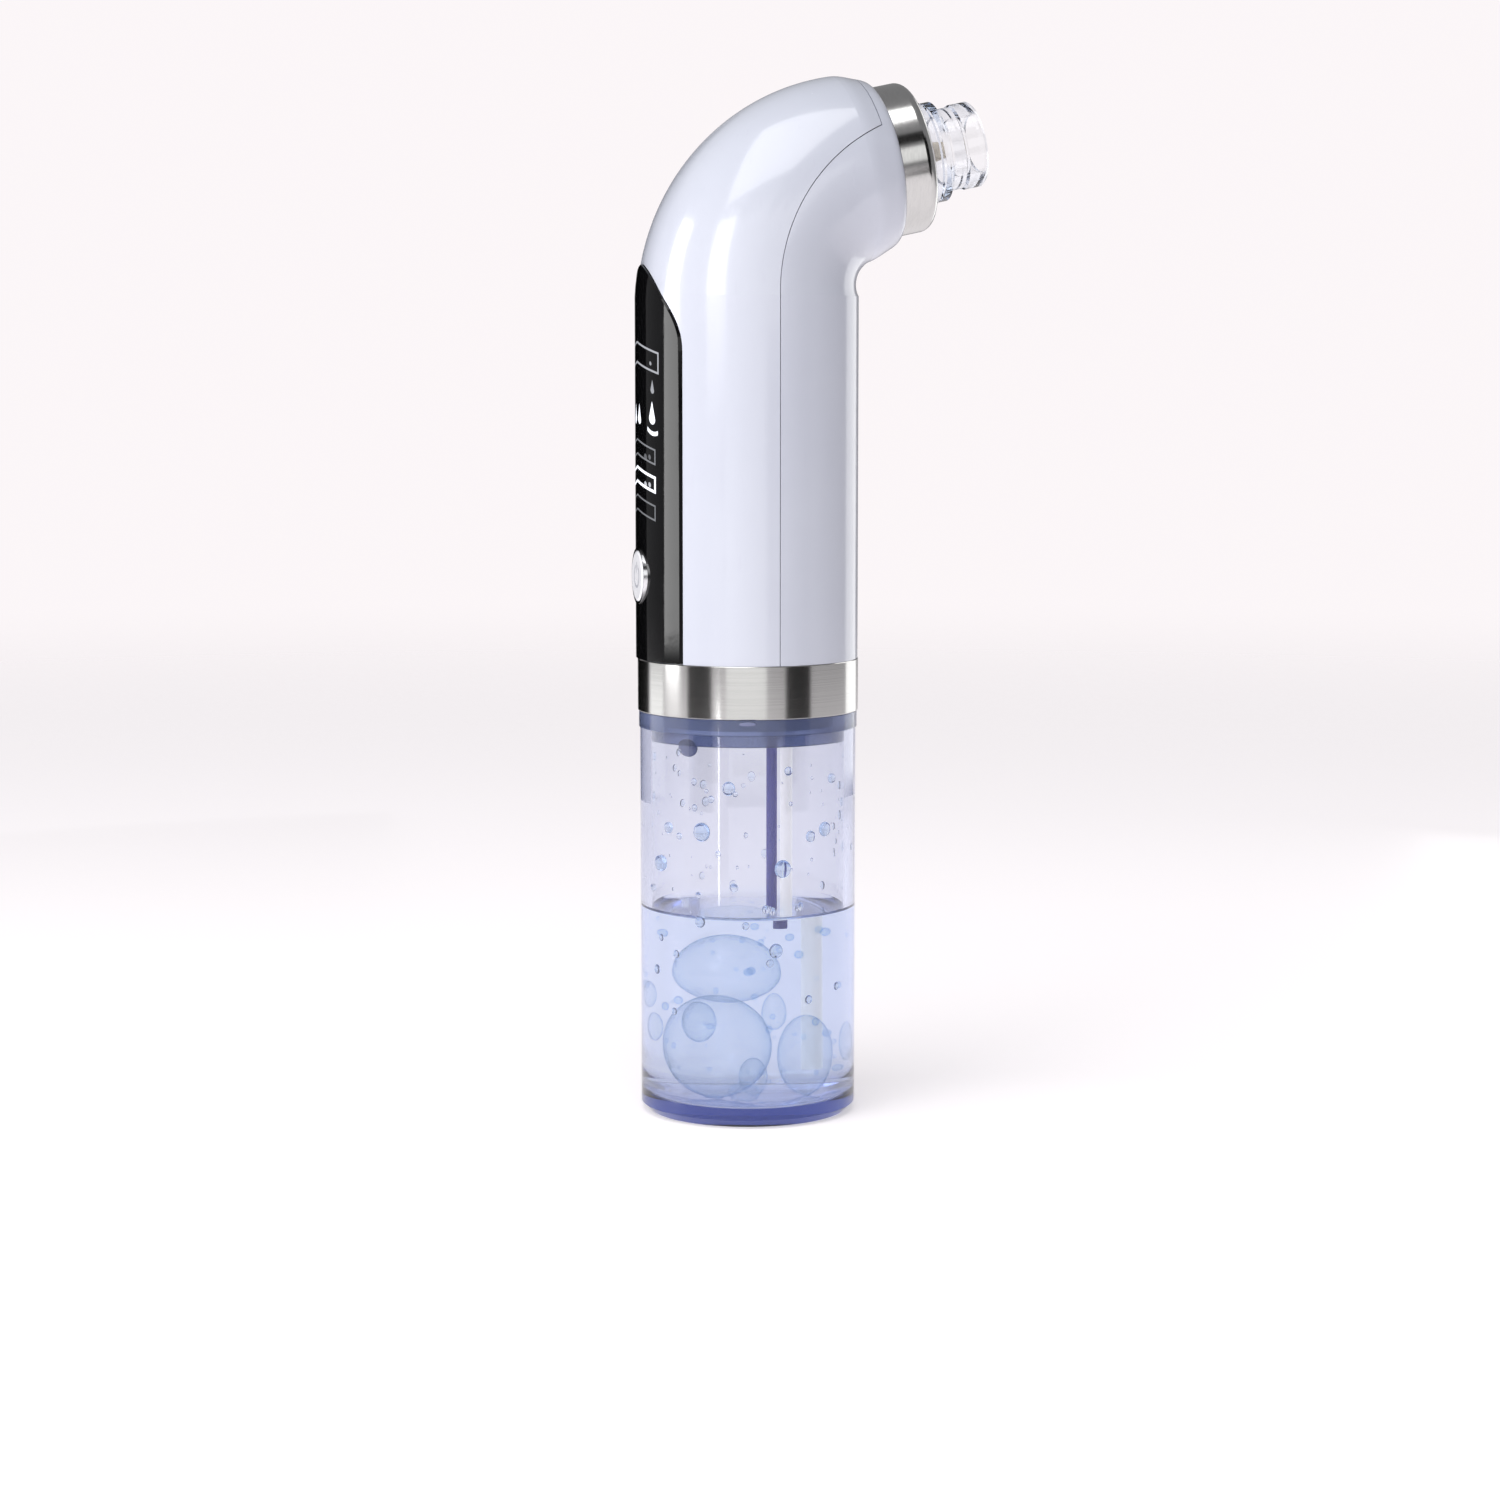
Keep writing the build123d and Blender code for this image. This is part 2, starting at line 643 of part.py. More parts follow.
# ---------------------------------------------------------------- chassis and electronics
def make_chassis(clamp_z):
    half_width = cavity_radius - chassis_inset
    plate = block(chassis_back, chassis_front, -half_width, half_width, foot_bottom, chassis_top)
    foot = disc(skirt_bore - foot_gap, foot_bottom, foot_top)
    foot -= disc(hose_radius + 0.3, foot_bottom, foot_top, pickup_x, pickup_y)
    foot -= disc(hose_radius + 0.3, foot_bottom, foot_top, return_x, return_y)
    chassis = plate + foot
    for x, y in manifold_screw_places():
        chassis -= disc(manifold_screw_radius + assembly_gap, foot_bottom, foot_top, x, y)
        chassis -= disc(1.8, foot_top, foot_top + 6, x, y)
    for side in (-1, 1):
        chassis -= peg(shell_screw_radius + 0.2, chassis_back, chassis_front, side * shell_screw_y, screw_z)
        chassis -= peg(0.85, chassis_back, chassis_front, side * clamp_screw_y, clamp_z)
    chassis -= block(chassis_back, chassis_front, -2, 2, board_top + 1.5, board_top + 6)
    return chassis


def make_manifold_screws():
    screws = []
    for x, y in manifold_screw_places():
        shank = disc(manifold_screw_radius, manifold_bottom + 5.5, foot_top, x, y)
        screws.append(shank + disc(manifold_screw_radius + 0.75, foot_top, foot_top + 1.1, x, y))
    return screws


def make_shell_screws():
    screws = []
    for side in (-1, 1):
        y = side * shell_screw_y
        shank = peg(shell_screw_radius, screw_head_x, screw_tip_x, y, screw_z)
        head = peg(shell_boss_radius - 0.6, screw_head_x - screw_head_height, screw_head_x, y, screw_z)
        screws.append(shank + head)
    return screws


def make_boards():
    half_width = math.sqrt(cavity_radius ** 2 - board_back ** 2) - board_margin
    main = block(board_back, board_front, -half_width, half_width, board_bottom, board_top)
    face = board_front
    parts = [
        block(face, face + 1.0, -8.5, -2.5, board_bottom + 2, board_bottom + 7),
        block(face, face + 0.9, 2, 6, board_bottom + 2, board_bottom + 6),
        block(face, face + 1.4, -2, 2, board_top - 3, board_top),
    ]
    for side in (-1, 1):
        parts.append(block(face, face + 1.4, side * 6 - 1.3, side * 6 + 1.3, board_top - 3, board_top))

    display_face = display_back + display_thickness
    edge = display_half_width
    display = block(display_back, display_face, -edge, edge, board_bottom, board_top)
    header = block(display_face + 0.02, board_back - 0.02, -4, 4, board_bottom + 24, board_bottom + 27)
    lamp_face = display_back - 0.02
    lamp_front = display_back - 0.7
    first = board_bottom + 17
    leds = []
    for i in range(level_count):
        low = first + i * level_step
        leds.append(block(lamp_front, lamp_face, -0.8, 0.8, low, low + 1))
    guide_front = -(cavity_radius - guide_inset)
    guide = block(guide_front, lamp_front - 0.1, -3.4, 3.4, first - 2, board_top - 5)
    guide -= block(guide_front + 0.35, lamp_front - 0.1, -2.2, 2.2, first - 1, board_top - 6)

    switch_low = button_z - 2.5
    switch = block(switch_top + 0.1, display_back - 0.02, -2.5, 2.5, switch_low, switch_low + 5)
    switch += peg(1.2, switch_top, switch_top + 0.1, 0, button_z)
    return main, parts, display, header, leds, guide, switch


def make_battery():
    edge = cell_half_width
    cell = block(cell_back, cell_front, -edge, edge, board_bottom + 8.5, board_top - 4.5)
    cell = fillet(cell.edges().filter_by(Axis.Z), min(1.2, (cell_front - cell_back) / 3))
    pad = block(cell_front + 0.03, chassis_back - 0.03, -8, 8, board_bottom + 13, board_top - 9)
    leads = []
    end_z = board_top + 0.05
    over_z = board_top + 2.6
    start_z = board_top - 4.45
    for side in (-1, 1):
        y = side * 6
        rise = [(cell_middle, y, start_z), (cell_middle, y, over_z)]
        fall = [(lead_x, y, over_z), (lead_x, y, end_z)]
        leads.append(hose(rise + fall, [lead_bend, lead_bend], lead_radius, 0))
    return cell, pad, leads


def make_motor_leads(motor_top):
    leads = []
    tab_x = pump_x - motor_tab_offset
    over_z = board_top + 4.4
    end_z = board_top + 0.05
    for side in (-1, 1):
        y = side * 0.9
        rise = [(tab_x, y, motor_top + 0.55), (tab_x, y, over_z)]
        fall = [(lead_x, y, over_z), (lead_x, y, end_z)]
        leads.append(hose(rise + fall, [lead_bend, 2.0], lead_radius, 0))
    return leads


def make_charging():
    high_x = cavity_radius - 0.9
    edge = charge_half_width
    board = block(high_x - charge_length, high_x, -edge, edge, charge_z, charge_z + charge_thickness)
    socket = usb_prism(0, cavity_radius - 6.9, body_radius - socket_recess, socket_z)
    socket -= usb_prism(-socket_wall, cavity_radius - 5.9, body_radius, socket_z)
    tongue_end = body_radius - socket_recess - 1.8
    tongue = block(cavity_radius - 6.4, tongue_end, -3.3, 3.3, socket_z - 0.35, socket_z + 0.35)
    return board, socket + tongue


# ---------------------------------------------------------------- hoses
def make_hoses():
    barb_top = manifold_top + 0.05
    inlet_z = pump_bottom + pump_cover_height + 0.05
    seat_back = seat_flange_back - 0.05

    def at(along, side):
        point = nozzle_point(along, 0, side)
        return (point.X, point.Y, point.Z)

    supply_points = [
        (pickup_x, pickup_y, barb_top), (pickup_x, pickup_y, barb_top + 7.5),
        (supply_x, supply_y, pump_bottom - 2), (supply_x, supply_y, bend_start - 6),
        (7.0, 5.5, bend_start + 15), at(-7, 0), at(seat_back, 0),
    ]
    supply = hose(supply_points, [5, 5, 12, 8, 5], hose_radius, barb_radius)
    suction_points = [
        (inlet_x, inlet_y, inlet_z), (inlet_x, inlet_y, bend_start), at(-7, suction_port_y),
        at(seat_back, suction_port_y),
    ]
    suction = hose(suction_points, [14, 6], hose_radius, barb_radius)
    back = tube(hose_radius, barb_radius, barb_top, pump_bottom - 0.05, return_x, return_y)
    return supply, suction, back


# ---------------------------------------------------------------- output
def write(name, shapes):
    solids = []
    for shape in shapes if isinstance(shapes, (list, tuple)) else [shapes]:
        solids.extend(shape.solids())
    body = solids[0] if len(solids) == 1 else Compound(children=solids)
    body.label = name
    export_step(body, f"parts/{name}.step")


def main():
    os.makedirs("parts", exist_ok=True)
    rear, front = make_shells()
    cover, diaphragm, head, motor, shaft, eccentric, pump_screws, motor_bottom, motor_top = make_pump()
    clamp, clamp_screws, clamp_z = make_motor_clamp(motor_bottom)
    main_board, components, display, header, leds, guide, switch = make_boards()
    cell, pad, battery_leads = make_battery()
    charge_board, socket = make_charging()
    supply, suction, back = make_hoses()
    pieces = {
        "rear_shell": rear,
        "front_shell": front,
        "display_lens": make_lens(),
        "button_bezel": make_bezel(),
        "power_button": make_button(),
        "steel_band": make_band(),
        "nozzle_ring": make_nozzle_ring(),
        "nozzle_seat": make_nozzle_seat(),
        "seat_gasket": make_seat_gasket(),
        "spray_jet": make_spray_jet(),
        "suction_tip": make_suction_tip(),
        "tip_gasket": make_tip_gasket(),
        "filter_sponge": make_filter_sponge(),
        "water_tank": make_tank(),
        "tank_collar": make_tank_collar(),
        "manifold": make_manifold(),
        "pickup_tube": make_pickup_tube(),
        "return_tube": make_return_tube(),
        "tank_oring": make_tank_oring(),
        "tank_gasket": make_tank_gasket(),
        "pump_cover": cover,
        "pump_diaphragm": diaphragm,
        "pump_head": head,
        "pump_motor": motor,
        "motor_shaft": shaft,
        "pump_eccentric": eccentric,
        "pump_screws": pump_screws,
        "motor_clamp": clamp,
        "clamp_screws": clamp_screws,
        "chassis": make_chassis(clamp_z),
        "manifold_screws": make_manifold_screws(),
        "shell_screws": make_shell_screws(),
        "main_board": main_board,
        "board_components": components,
        "display_board": display,
        "board_header": header,
        "display_leds": leds,
        "light_guide": guide,
        "tact_switch": switch,
        "battery_cell": cell,
        "battery_pad": pad,
        "battery_leads": battery_leads,
        "motor_leads": make_motor_leads(motor_top),
        "charge_board": charge_board,
        "usb_socket": socket,
        "supply_hose": supply,
        "suction_hose": suction,
        "return_hose": back,
    }
    for name, shapes in pieces.items():
        write(name, shapes)


main()
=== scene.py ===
import math
import random

import bmesh
import bpy
from mathutils import Matrix, Vector


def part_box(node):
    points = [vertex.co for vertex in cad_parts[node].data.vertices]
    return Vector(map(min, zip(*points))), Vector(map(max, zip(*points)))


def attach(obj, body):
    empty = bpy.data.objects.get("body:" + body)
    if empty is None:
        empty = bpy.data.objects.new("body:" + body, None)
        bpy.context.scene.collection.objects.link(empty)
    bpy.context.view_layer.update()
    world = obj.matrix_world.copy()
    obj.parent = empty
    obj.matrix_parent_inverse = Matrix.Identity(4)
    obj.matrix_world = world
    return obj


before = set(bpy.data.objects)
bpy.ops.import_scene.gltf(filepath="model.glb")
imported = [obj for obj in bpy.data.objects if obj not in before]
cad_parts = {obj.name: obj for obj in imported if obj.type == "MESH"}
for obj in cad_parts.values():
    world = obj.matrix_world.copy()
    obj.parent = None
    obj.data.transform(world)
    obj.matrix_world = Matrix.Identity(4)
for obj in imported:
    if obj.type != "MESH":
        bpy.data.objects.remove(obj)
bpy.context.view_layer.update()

# The looks of a hand-held small-bubble pore cleaner: gloss lavender shells with a black display, satin steel
# trim, a clear suction tip and a tinted water tank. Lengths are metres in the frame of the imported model.

MM = 0.001

tank_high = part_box("water_tank")[1]
collar_low, collar_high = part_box("tank_collar")
band_low, band_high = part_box("steel_band")
lens_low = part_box("display_lens")[0]
button_low, button_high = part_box("power_button")

TANK_WALL = 2.0 * MM
TANK_FLOOR = 3.0 * MM
BORE = tank_high.x - TANK_WALL
WATER_LEVEL = 37.0 * MM
BUBBLE_SQUEEZE = 0.8                 # the round tank widens what is in it, so bubbles are made narrower
LENS_RADIUS = -lens_low.x
VIEW_TURN = math.radians(-14.0)      # the camera stands this far round from the -Y side
VIEW_SIDE = Vector((math.sin(VIEW_TURN), -math.cos(VIEW_TURN), 0.0))
VIEW_RIGHT = Vector((math.cos(VIEW_TURN), math.sin(VIEW_TURN), 0.0))


# ------------------------------------------------------------------ shader arithmetic
class Signal:
    """A shader socket that adds Math nodes when it is used in arithmetic."""

    def __init__(self, bench, socket):
        self.bench = bench
        self.socket = socket

    def combine(self, operation, other=None, flipped=False):
        values = [self] if other is None else ([other, self] if flipped else [self, other])
        return self.bench.add("ShaderNodeMath", {"operation": operation}, dict(enumerate(values)))

    def __add__(self, other):
        return self.combine("ADD", other)

    def __radd__(self, other):
        return self.combine("ADD", other, True)

    def __sub__(self, other):
        return self.combine("SUBTRACT", other)

    def __rsub__(self, other):
        return self.combine("SUBTRACT", other, True)

    def __mul__(self, other):
        return self.combine("MULTIPLY", other)

    def __rmul__(self, other):
        return self.combine("MULTIPLY", other, True)

    def __truediv__(self, other):
        return self.combine("DIVIDE", other)

    def __pow__(self, other):
        return self.combine("POWER", other)

    def __abs__(self):
        return self.combine("ABSOLUTE")

    def __lt__(self, other):
        return self.combine("LESS_THAN", other)

    def __gt__(self, other):
        return self.combine("GREATER_THAN", other)

    def least(self, other):
        return self.combine("MINIMUM", other)

    def most(self, other):
        return self.combine("MAXIMUM", other)

    def root(self):
        return self.combine("SQRT")

    def turn_from(self, other):
        """The angle of the point (other, self)."""
        return self.combine("ARCTAN2", other)

    def ramp(self, low, high):
        """0 below low, 1 above high, smooth between."""
        sockets = {"Value": self, "From Min": low, "From Max": high}
        return self.bench.add("ShaderNodeMapRange", {"interpolation_type": "SMOOTHSTEP"}, sockets)


class Wiring:
    """A node tree, emptied and ready for new nodes."""

    def __init__(self, owner):
        owner.use_nodes = True
        self.tree = owner.node_tree
        self.tree.nodes.clear()

    def add(self, kind, settings=None, sockets=None, out=0):
        """Adds a node: its settings first, then the values or links of its sockets."""
        node = self.tree.nodes.new(kind)
        for key, value in (settings or {}).items():
            setattr(node, key, value)
        for key, value in (sockets or {}).items():
            self.plug(node.inputs[key], value)
        return Signal(self, node.outputs[out])

    def plug(self, socket, value):
        """Links a socket, or sets its own value."""
        if isinstance(value, Signal):
            self.tree.links.new(value.socket, socket)
        elif hasattr(value, "__len__") and socket.type == "RGBA" and len(value) == 3:
            socket.default_value = (*value, 1.0)
        else:
            socket.default_value = value


class Bench(Wiring):
    """One material's node tree, with a Principled shader ready to be fed."""

    def __init__(self, name):
        self.material = bpy.data.materials.new(name)
        super().__init__(self.material)
        self.output = self.tree.nodes.new("ShaderNodeOutputMaterial")
        self.shader = self.tree.nodes.new("ShaderNodeBsdfPrincipled")
        self.tree.links.new(self.shader.outputs[0], self.output.inputs["Surface"])

    def place(self):
        return self.add("ShaderNodeTexCoord", out="Object")

    def axes(self):
        """The point's X, Y and Z in the row frame, in millimetres."""
        split = self.add("ShaderNodeSeparateXYZ", sockets={0: self.place()})
        node = split.socket.node
        return [Signal(self, node.outputs[i]) * 1000.0 for i in range(3)]

    def stretched(self, scale):
        """The point with each axis scaled, for streaks and grain that run one way."""
        return self.add("ShaderNodeMapping", sockets={"Vector": self.place(), "Scale": scale})

    def noise(self, scale, detail=3.0, rough=0.5, at=None):
        sockets = {"Vector": at or self.place(), "Scale": scale, "Detail": detail, "Roughness": rough}
        return self.add("ShaderNodeTexNoise", sockets=sockets)

    def cells(self, scale, at=None):
        return self.add("ShaderNodeTexVoronoi", sockets={"Vector": at or self.place(), "Scale": scale})

    def mix(self, factor, first, second):
        settings = {"data_type": "RGBA"}
        return self.add("ShaderNodeMix", settings, {0: factor, 6: first, 7: second}, out=2)

    def bump(self, height, distance, strength=1.0):
        sockets = {"Height": height, "Distance": distance, "Strength": strength}
        self.plug(self.shader.inputs["Normal"], self.add("ShaderNodeBump", sockets=sockets))

    def set(self, **values):
        """Sets shader sockets: base_color for Base Color, and so on."""
        for key, value in values.items():
            name = " ".join(word.upper() if word == "ior" else word.capitalize() for word in key.split("_"))
            self.plug(self.shader.inputs[name], value)
        return self

    def absorb(self, colour, density):
        """Tints what passes through, more with thickness."""
        sockets = {"Color": colour, "Density": density}
        self.plug(self.output.inputs["Volume"], self.add("ShaderNodeVolumeAbsorption", sockets=sockets))


# ------------------------------------------------------------------ materials: shells and display
def gloss_shell():
    """Lavender-white gloss moulding with faint flow marks, smudges and fine scuffs."""
    bench = Bench("gloss_lavender_shell")
    flow = bench.noise(22.0, 4.0, 0.55)
    smudge = bench.noise(95.0, 5.0, 0.6).ramp(0.48, 0.72)
    scuff = bench.noise(900.0, 2.0, 0.5, bench.stretched((1.0, 1.0, 0.08))).ramp(0.66, 0.74)
    colour = bench.mix(flow.ramp(0.3, 0.7), (0.66, 0.685, 0.785), (0.69, 0.715, 0.81))
    colour = bench.mix(scuff * 0.10, colour, (0.58, 0.58, 0.7))
    bench.set(base_color=colour, roughness=0.17 + smudge * 0.05 + scuff * 0.08, coat_weight=0.5)
    bench.set(coat_roughness=0.05, ior=1.5)
    bench.bump(bench.noise(1500.0, 2.0) * 0.4 + flow, 0.00002)
    return bench.material


def icon_masks(bench):
    """Brightness of the display's symbols: a battery frame, drops over a ripple, and three level bars."""
    x, y, z = bench.axes()
    across = abs(y.turn_from(x * -1.0)) * (LENS_RADIUS / MM)
    lean = 0.235             # the symbols drop this much per millimetre away from the middle
    soft = 0.08              # width of a symbol's blurred edge
    battery_height, battery_half, battery_tall = 53.0, 8.8, 1.75
    bar_half, bar_tall = 7.8, 1.25
    bars = ((36.5, 0.16, 0.24), (31.6, 1.0, 0.42), (26.6, 0.14, 0.24))     # height, brightness, line width
    drop_foot, drop_side = 42.3, 6.9
    ripple_height, ripple_side, ripple_half, ripple_curve = 40.7, 7.0, 1.6, 0.16
    up = z - band_high.z / MM + across * lean

    def bar(middle, half_width, half_height, line):
        """An outlined bar from one side of the display to the other."""
        middle = middle + half_width * lean
        dx = across - half_width
        dz = abs(up - middle) - half_height
        return 1.0 - abs(dx.most(dz)).ramp(line * 0.5, line * 0.5 + soft)

    def spot(s, height, size):
        reach = ((across - s) ** 2.0 + (up - height - s * lean) ** 2.0).root()
        return 1.0 - reach.ramp(size - 0.12, size)

    light = bar(battery_height, battery_half, battery_tall, 0.28) * 0.30
    for height, level, line in bars:
        light = light.most(bar(height, bar_half, bar_tall, line) * level)
    for s, size in ((4.4, 0.62), (6.0, 0.5)):
        light = light.most(spot(s, bars[1][0], size) * 0.4)
        light = light.most(spot(s, bars[0][0], size) * 0.1)
    light = light.most(spot(6.4, battery_height, 0.4) * 0.25)

    def drop(s, foot, size):
        """A water drop: a round belly that narrows to a point above."""
        sway = across - s
        rise = up - foot - s * lean - size
        taper = size * (1.0 - rise.most(0.0) / (size * 3.1))
        lower = ((sway ** 2.0 + rise.least(0.0) ** 2.0).root()) - taper
        tall = 1.0 - rise.ramp(size * 2.9, size * 3.1)
        return (1.0 - lower.ramp(-0.08, 0.06)) * tall

    light = light.most(drop(drop_side, drop_foot, 1.0)).most(drop(7.0, 47.7, 0.6) * 0.25)
    light = light.most(drop(1.4, drop_foot, 0.9))
    sway = across - ripple_side
    rise = up - ripple_height - ripple_side * lean - sway ** 2.0 * ripple_curve
    ripple = (1.0 - abs(rise).ramp(0.3, 0.42)) * (1.0 - abs(sway).ramp(ripple_half, ripple_half + 0.2))
    return light.most(ripple)


def display_gloss():
    """Black gloss panel with pale printed symbols that glow a little."""
    bench = Bench("display_black_gloss")
    light = icon_masks(bench)
    haze = bench.noise(140.0, 4.0, 0.6).ramp(0.45, 0.75)
    dust = bench.cells(2600.0).ramp(0.06, 0.02)
    colour = bench.mix(light, (0.0035, 0.0035, 0.004), (0.82, 0.84, 0.88))
    colour = bench.mix(dust * 0.05, colour, (0.4, 0.4, 0.42))
    bench.set(base_color=colour, roughness=0.05 + haze * 0.05, specular_ior_level=0.32)
    bench.set(emission_color=bench.mix(light, (0.0, 0.0, 0.0), (0.85, 0.89, 1.0)), emission_strength=0.75)
    bench.bump(haze, 0.000004)
    return bench.material


def button_white():
    """White gloss cap with a soft grey power symbol, and a faint painted glow over the whole cap."""
    bench = Bench("button_white_gloss")
    x, y, z = bench.axes()
    middle = (button_low.z + button_high.z) / 2 / MM
    face = button_low.x / MM
    ring_radius, gap_half, stem_middle, stem_half = 1.9, 0.75, 1.6, 0.9
    rise = z - middle
    reach = (y ** 2.0 + rise ** 2.0).root()
    gap = (abs(y) < gap_half) * (rise > 0.0)
    ring = (1.0 - abs(reach - ring_radius).ramp(0.2, 0.32)) * (1.0 - gap)
    stem = (1.0 - abs(y).ramp(0.18, 0.28)) * (1.0 - abs(rise - stem_middle).ramp(stem_half, stem_half + 0.1))
    front = 1.0 - x.ramp(face + 0.25, face + 0.3)
    mark = ring.most(stem) * front
    wear = bench.noise(420.0, 4.0, 0.6)
    colour = bench.mix(wear, (0.84, 0.84, 0.88), (0.9, 0.9, 0.93))
    colour = bench.mix(mark * 0.75, colour, (0.33, 0.34, 0.4))
    bench.set(base_color=colour, roughness=0.2 + wear * 0.12, coat_weight=0.3, coat_roughness=0.08)
    # painted light: a faint even glow over the whole cap makes it read brighter
    bench.set(emission_color=(0.9, 0.92, 1.0), emission_strength=0.12)
    bench.bump(mark * -1.0 + wear * 0.1, 0.00004)
    return bench.material


# ------------------------------------------------------------------ materials: metal
def satin_steel(name, colour, roughness, grain):
    """Turned steel: fine lines round the ring, a little uneven in colour and gloss."""
    bench = Bench(name)
    lines = bench.noise(1.0, 3.0, 0.6, bench.stretched(grain))
    patch = bench.noise(60.0, 3.0, 0.5)
    tint = bench.mix(patch, colour, [c * 0.9 for c in colour])
    tint = bench.mix(lines.ramp(0.35, 0.7) * 0.25, tint, [c * 0.72 for c in colour])
    bench.set(base_color=tint, metallic=1.0, roughness=roughness + lines * 0.05 + patch * 0.03)
    bench.bump(lines, 0.000002)
    return bench.material


def plated_metal(name, colour, roughness):
    """Plated small metal: mottled, with scratches."""
    bench = Bench(name)
    mottle = bench.noise(350.0, 4.0, 0.6)
    scratch = bench.noise(1.0, 2.0, 0.5, bench.stretched((300.0, 4000.0, 4000.0))).ramp(0.62, 0.7)
    tint = bench.mix(mottle, colour, [c * 0.75 for c in colour])
    bench.set(base_color=tint, metallic=1.0, roughness=roughness + mottle * 0.12 + scratch * 0.15)
    bench.bump(mottle + scratch, 0.00001)
    return bench.material


# ------------------------------------------------------------------ materials: clear and tinted plastic
def clear_wall(name, absorbed, density, roughness=0.015, ior=1.49, ripple=0.000004):
    """Clear moulding whose tint deepens with thickness, with faint flow ripples and smears."""
    bench = Bench(name)
    smear = bench.noise(70.0, 4.0, 0.6).ramp(0.5, 0.8)
    colour = bench.mix(smear, (1.0, 1.0, 1.0), (0.97, 0.975, 0.99))
    bench.set(base_color=colour, roughness=roughness + smear * 0.02, transmission_weight=1.0, ior=ior)
    bench.bump(bench.noise(45.0, 3.0) + smear * 0.3, ripple)
    bench.absorb(absorbed, density)
    return bench.material


def water_look():
    """Water with a faint blue tint and slow swirls."""
    bench = Bench("tank_water")
    swirl = bench.noise(60.0, 3.0, 0.5)
    colour = bench.mix(swirl, (1.0, 1.0, 1.0), (0.985, 0.99, 1.0))
    bench.set(base_color=colour, roughness=swirl * 0.01, transmission_weight=1.0, ior=1.33)
    bench.bump(swirl, 0.00003)
    bench.absorb((0.35, 0.62, 0.93), 9.0)
    return bench.material


def bubble_look(name, absorbed, density):
    """A thin blue-edged film: its tint shows where the film is seen edge on."""
    bench = Bench(name)
    swirl = bench.noise(180.0, 3.0, 0.5)
    colour = bench.mix(swirl, (1.0, 1.0, 1.0), (0.985, 0.995, 1.0))
    bench.set(base_color=colour, roughness=swirl * 0.01, transmission_weight=1.0, ior=1.0)
    bench.set(coat_weight=1.0, coat_roughness=0.02, coat_ior=1.25)
    bench.bump(swirl, 0.00001)
    bench.absorb(absorbed, density)
    return bench.material


def tinted_plastic(name, colour, deep, roughness, transmission):
    """Translucent moulding, its tint deepening in cloudy patches."""
    bench = Bench(name)
    cloud = bench.noise(160.0, 4.0, 0.55)
    bench.set(base_color=bench.mix(cloud, colour, deep), roughness=roughness + cloud * 0.05)
    bench.set(transmission_weight=transmission, ior=1.46, coat_weight=0.3, coat_roughness=0.06)
    bench.bump(cloud, 0.00001)
    return bench.material


# ------------------------------------------------------------------ materials: inner parts
def moulded(name, colour, deep, roughness, grain=1200.0):
    """Textured moulding with a fine spark-eroded grain."""
    bench = Bench(name)
    speck = bench.noise(grain, 3.0, 0.6)
    patch = bench.noise(80.0, 3.0, 0.5)
    bench.set(base_color=bench.mix(patch, colour, deep), roughness=roughness + speck * 0.15)
    bench.bump(speck, 0.00003)
    return bench.material


def milky(name, colour, deep, roughness, glow):
    """Milky translucent tube, with a painted glow in its own tint that fills its shaded side in place of the
    light that would reach it through the tank.
    """
    bench = Bench(name)
    cloud = bench.noise(260.0, 4.0, 0.6)
    tint = bench.mix(cloud, colour, deep)
    bench.set(base_color=tint, roughness=roughness + cloud * 0.12)
    # painted light: the tube glows in its own tint, standing in for light reaching it through the tank
    bench.set(emission_color=tint, emission_strength=glow)
    bench.bump(bench.noise(1200.0, 2.0), 0.00002)
    return bench.material


def rubber(name, colour, deep):
    """Matt rubber with a pale bloom."""
    bench = Bench(name)
    bloom = bench.noise(240.0, 5.0, 0.65)
    bench.set(base_color=bench.mix(bloom, colour, deep), roughness=0.62 + bloom * 0.2)
    bench.set(sheen_weight=0.15, sheen_roughness=0.4)
    bench.bump(bench.noise(2500.0, 2.0), 0.00002)
    return bench.material


def foam():
    """Open-cell foam: pale walls, with the pores painted darker as shade in the holes."""
    bench = Bench("open_cell_foam")
    pore = bench.cells(2200.0)
    # painted shade: the pores are darkened as if shade lay in them
    colour = bench.mix(pore.ramp(0.15, 0.5), (0.5, 0.47, 0.4), (0.84, 0.82, 0.75))
    bench.set(base_color=colour, roughness=0.9, sheen_weight=0.2)
    bench.bump(pore, 0.0002)
    return bench.material


def circuit_board():
    """Green solder mask with copper runs and tinned pads."""
    bench = Bench("board_green_mask")
    sockets = {"Vector": bench.place(), "Scale": 300.0, "Mortar Size": 0.06}
    sockets.update({"Color1": (0, 0, 0), "Color2": (0, 0, 0), "Mortar": (1, 1, 1)})
    runs = bench.add("ShaderNodeTexBrick", sockets=sockets)
    pads = bench.cells(420.0).ramp(0.24, 0.18)
    colour = bench.mix(runs, (0.015, 0.13, 0.06), (0.04, 0.26, 0.12))
    colour = bench.mix(pads * 0.8, colour, (0.72, 0.7, 0.62))
    bench.set(base_color=colour, roughness=0.38 - pads * 0.1, metallic=pads * 0.8, coat_weight=0.2)
    bench.bump(runs.ramp(0.2, 0.8) + pads, 0.00004)
    return bench.material


def lit_lens():
    """The clear caps of the display lamps, faintly lit."""
    bench = Bench("led_lens")
    cloud = bench.noise(900.0, 2.0)
    bench.set(base_color=bench.mix(cloud, (0.9, 0.9, 0.82), (0.98, 0.98, 0.95)), roughness=0.25 + cloud * 0.1)
    bench.set(emission_color=bench.mix(cloud, (0.8, 0.9, 1.0), (1.0, 1.0, 1.0)), emission_strength=0.6)
    bench.bump(cloud, 0.00002)
    return bench.material


